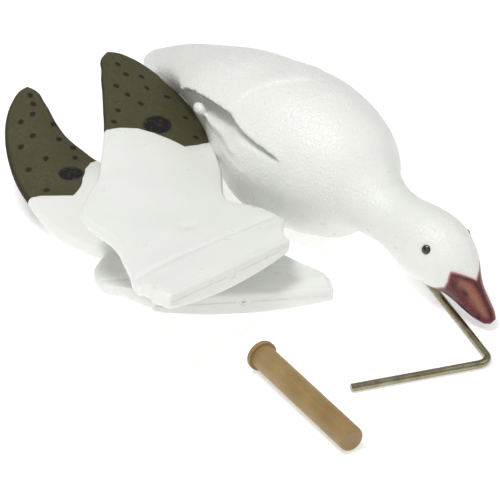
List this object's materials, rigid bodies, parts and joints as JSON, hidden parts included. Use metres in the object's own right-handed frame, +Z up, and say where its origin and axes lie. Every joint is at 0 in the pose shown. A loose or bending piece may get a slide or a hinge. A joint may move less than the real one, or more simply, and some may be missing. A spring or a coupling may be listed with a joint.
{
  "type": "motion wing decoy",
  "caption": "Feeding goose decoy laid out unassembled: hollow body with wing pockets, push-in wings that flex at a waist, bent stake rod and ground peg.",
  "frame": {"origin": "mouth of the stake socket in the flat of the goose's belly, on the floor", "axes": "+X towards the goose's bill, +Y to its left, +Z up"},
  "size_m": [0.6753, 0.41, 0.1725],
  "materials": {
    "white_plastic": "satin blow-moulded, finely stippled",
    "tip_paint": "olive-brown sprayed paint with dark spots",
    "bill_paint": "maroon paint, satin",
    "eye_black": "glossy",
    "tan_plastic": "satin moulded",
    "zinc_rod": "bright zinc plate with a yellowish cast"
  },
  "bodies": {
    "goose": {"body_shell": "white_plastic", "bill": "bill_paint", "eye_left": "eye_black", "eye_right": "eye_black", "stake_socket": "white_plastic"},
    "left_wing": {"wing_left_panel": "white_plastic", "wing_left_tip": "tip_paint"},
    "left_wing_tab": {"wing_left_root": "white_plastic"},
    "right_wing": {"wing_right_panel": "white_plastic", "wing_right_tip": "tip_paint"},
    "right_wing_tab": {"wing_right_root": "white_plastic"},
    "rod": {"stake_rod": "zinc_rod"},
    "peg": {"ground_peg": "tan_plastic"}
  },
  "joints": [
    {"name": "left_wing_pick_up", "type": "slide", "parent": "goose", "child": "left_wing", "axis": [0, -0.8, 0.6], "range_m": [0, 0.25]},
    {"name": "right_wing_pick_up", "type": "slide", "parent": "left_wing", "child": "right_wing", "axis": [0, -0.8, 0.6], "range_m": [0, 0.2]},
    {"name": "left_wing_flap", "type": "hinge", "parent": "left_wing", "child": "left_wing_tab", "pos_m": [0.15016, -0.16542, 0.01578], "axis": [0.5075, 0.8616, 0], "range_deg": [-25, 4]},
    {"name": "right_wing_flap", "type": "hinge", "parent": "right_wing", "child": "right_wing_tab", "pos_m": [0.18075, -0.23061, 0.07874], "axis": [0.2404, -0.9641, 0.1132], "range_deg": [-20, 25]},
    {"name": "rod_pull", "type": "slide", "parent": "goose", "child": "rod", "axis": [0.9397, -0.342, 0], "range_m": [0, 0.25]},
    {"name": "peg_lift", "type": "slide", "parent": "goose", "child": "peg", "axis": [0, 0, 1], "range_m": [0, 0.2]}
  ]
}
